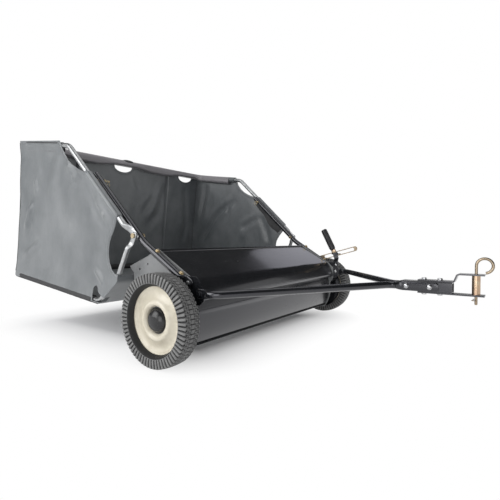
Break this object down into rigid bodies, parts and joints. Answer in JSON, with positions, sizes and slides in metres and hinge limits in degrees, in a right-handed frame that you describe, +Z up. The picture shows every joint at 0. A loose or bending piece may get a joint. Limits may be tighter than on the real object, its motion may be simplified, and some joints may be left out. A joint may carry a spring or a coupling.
{
  "type": "tow-behind lawn sweeper",
  "caption": "Tow-behind lawn sweeper: gear-driven brush in a sheet-metal hood on two wheels, V drawbar with clevis hitch and height lever, and a tipping fabric hopper on a tube frame.",
  "frame": {"origin": "under the middle of the machine's length and width, on the ground its tyres stand on", "axes": "+X towards the machine's left wheel and height lever, +Y rearwards from the hitch to the hopper, +Z up"},
  "size_m": [1.306, 1.9082, 0.866],
  "materials": {
    "black_paint": "gloss",
    "black_plastic": "satin",
    "galvanised": "galvanised",
    "yellow_zinc": "yellow zinc plate",
    "bright_zinc": "bright zinc plate",
    "cream_paint": "gloss",
    "rubber": "matte",
    "vinyl": "coated cloth",
    "bristle": "matte"
  },
  "bodies": {
    "housing": {"hood_upper_panel": "black_paint", "hood_front_panel": "black_paint", "hood_top_rail": "black_paint", "end_plate_right": "black_paint", "end_plate_left": "black_paint", "side_tube_right": "black_paint", "side_tube_left": "black_paint", "hitch_bracket_right": "black_paint", "hitch_bracket_left": "black_paint", "brush_bearing_right": "black_plastic", "brush_bearing_left": "black_plastic", "axle_bolt_right": "bright_zinc", "axle_bolt_left": "bright_zinc", "gear_cover_right": "black_paint", "gear_cover_left": "black_paint", "pivot_bolt_right": "yellow_zinc", "pivot_bolt_left": "yellow_zinc"},
    "wheel_right": {"tyre_right": "rubber", "wheel_disc_right": "cream_paint", "ring_gear_right": "black_plastic", "hub_cap_right": "black_plastic"},
    "wheel_left": {"tyre_left": "rubber", "wheel_disc_left": "cream_paint", "ring_gear_left": "black_plastic", "hub_cap_left": "black_plastic"},
    "brush": {"brush_shaft": "bright_zinc", "brush_retainer_1": "bright_zinc", "brush_retainer_2": "bright_zinc", "brush_retainer_3": "bright_zinc", "brush_retainer_4": "bright_zinc", "brush_strip_1": "bristle", "brush_strip_2": "bristle", "brush_strip_3": "bristle", "brush_strip_4": "bristle", "pinion_right": "black_plastic"},
    "free_pinion": {"pinion_left": "black_plastic"},
    "hopper": {"hopper_bag": "vinyl", "hopper_upper_tube_right": "galvanised", "hopper_upper_tube_left": "galvanised", "hopper_lower_tube_right": "galvanised", "hopper_lower_tube_left": "galvanised", "hopper_rear_top_tube": "galvanised", "hopper_rear_bottom_tube": "galvanised", "hopper_front_rod": "yellow_zinc", "hopper_stay_rod_right": "bright_zinc", "hopper_stay_rod_left": "bright_zinc"},
    "drawbar": {"hitch_tube_right": "black_paint", "hitch_tube_left": "black_paint", "tongue_channel": "black_paint", "clevis_upper_strap": "black_paint", "clevis_lower_strap": "black_paint", "hitch_spacer_sleeve": "yellow_zinc", "height_lever": "black_paint", "lever_grip": "black_plastic"},
    "slotted_strap": {"adjuster_strap": "bright_zinc"},
    "knob": {"wing_knob": "black_plastic"},
    "pin": {"hitch_pin": "bright_zinc"},
    "pin_cotter": {"hitch_pin_cotter": "bright_zinc"},
    "latch_right": {"latch_pin_right": "yellow_zinc"},
    "latch_left": {"latch_pin_left": "yellow_zinc"}
  },
  "joints": [
    {"name": "wheel_right_spin", "type": "hinge", "parent": "housing", "child": "wheel_right", "pos_m": [-0.6205, -0.0772, 0.1525], "axis": [1, 0, 0], "continuous": true},
    {"name": "wheel_left_spin", "type": "hinge", "parent": "housing", "child": "wheel_left", "pos_m": [0.6205, -0.0772, 0.1525], "axis": [1, 0, 0], "continuous": true},
    {"name": "brush_spin", "type": "hinge", "parent": "housing", "child": "brush", "pos_m": [0, 0.00581, 0.13965], "axis": [1, 0, 0], "continuous": true},
    {"name": "free_pinion_spin", "type": "hinge", "parent": "housing", "child": "free_pinion", "pos_m": [0.585, 0.00581, 0.13965], "axis": [1, 0, 0], "continuous": true},
    {"name": "hopper_dump", "type": "hinge", "parent": "housing", "child": "hopper", "pos_m": [0, 0.0988, 0.423], "axis": [1, 0, 0], "range_deg": [0, 78]},
    {"name": "drawbar_swing", "type": "hinge", "parent": "housing", "child": "drawbar", "pos_m": [0, -0.1832, 0.236], "axis": [1, 0, 0], "range_deg": [-12, 14]},
    {"name": "strap_swing", "type": "hinge", "parent": "housing", "child": "slotted_strap", "pos_m": [0.569, -0.0802, 0.304], "axis": [1, 0, 0], "range_deg": [-3, 3]},
    {"name": "knob_turn", "type": "hinge", "parent": "drawbar", "child": "knob", "pos_m": [0.577, -0.1702, 0.329], "axis": [1, 0, 0], "continuous": true},
    {"name": "hitch_pin_lift", "type": "slide", "parent": "drawbar", "child": "pin", "axis": [0, 0, 1], "range_m": [0, 0.009]},
    {"name": "cotter_pull", "type": "slide", "parent": "pin", "child": "pin_cotter", "axis": [-1, 0, 0], "range_m": [0, 0.04]},
    {"name": "latch_right_pull", "type": "slide", "parent": "housing", "child": "latch_right", "axis": [1, 0, 0], "range_m": [0, 0.045]},
    {"name": "latch_left_pull", "type": "slide", "parent": "housing", "child": "latch_left", "axis": [-1, 0, 0], "range_m": [0, 0.045]}
  ],
  "couplings": [
    {"joint": "brush_spin", "follows": "wheel_right_spin", "ratio": 5},
    {"joint": "free_pinion_spin", "follows": "wheel_left_spin", "ratio": 5},
    {"joint": "strap_swing", "follows": "drawbar_swing", "ratio": 0.13}
  ]
}
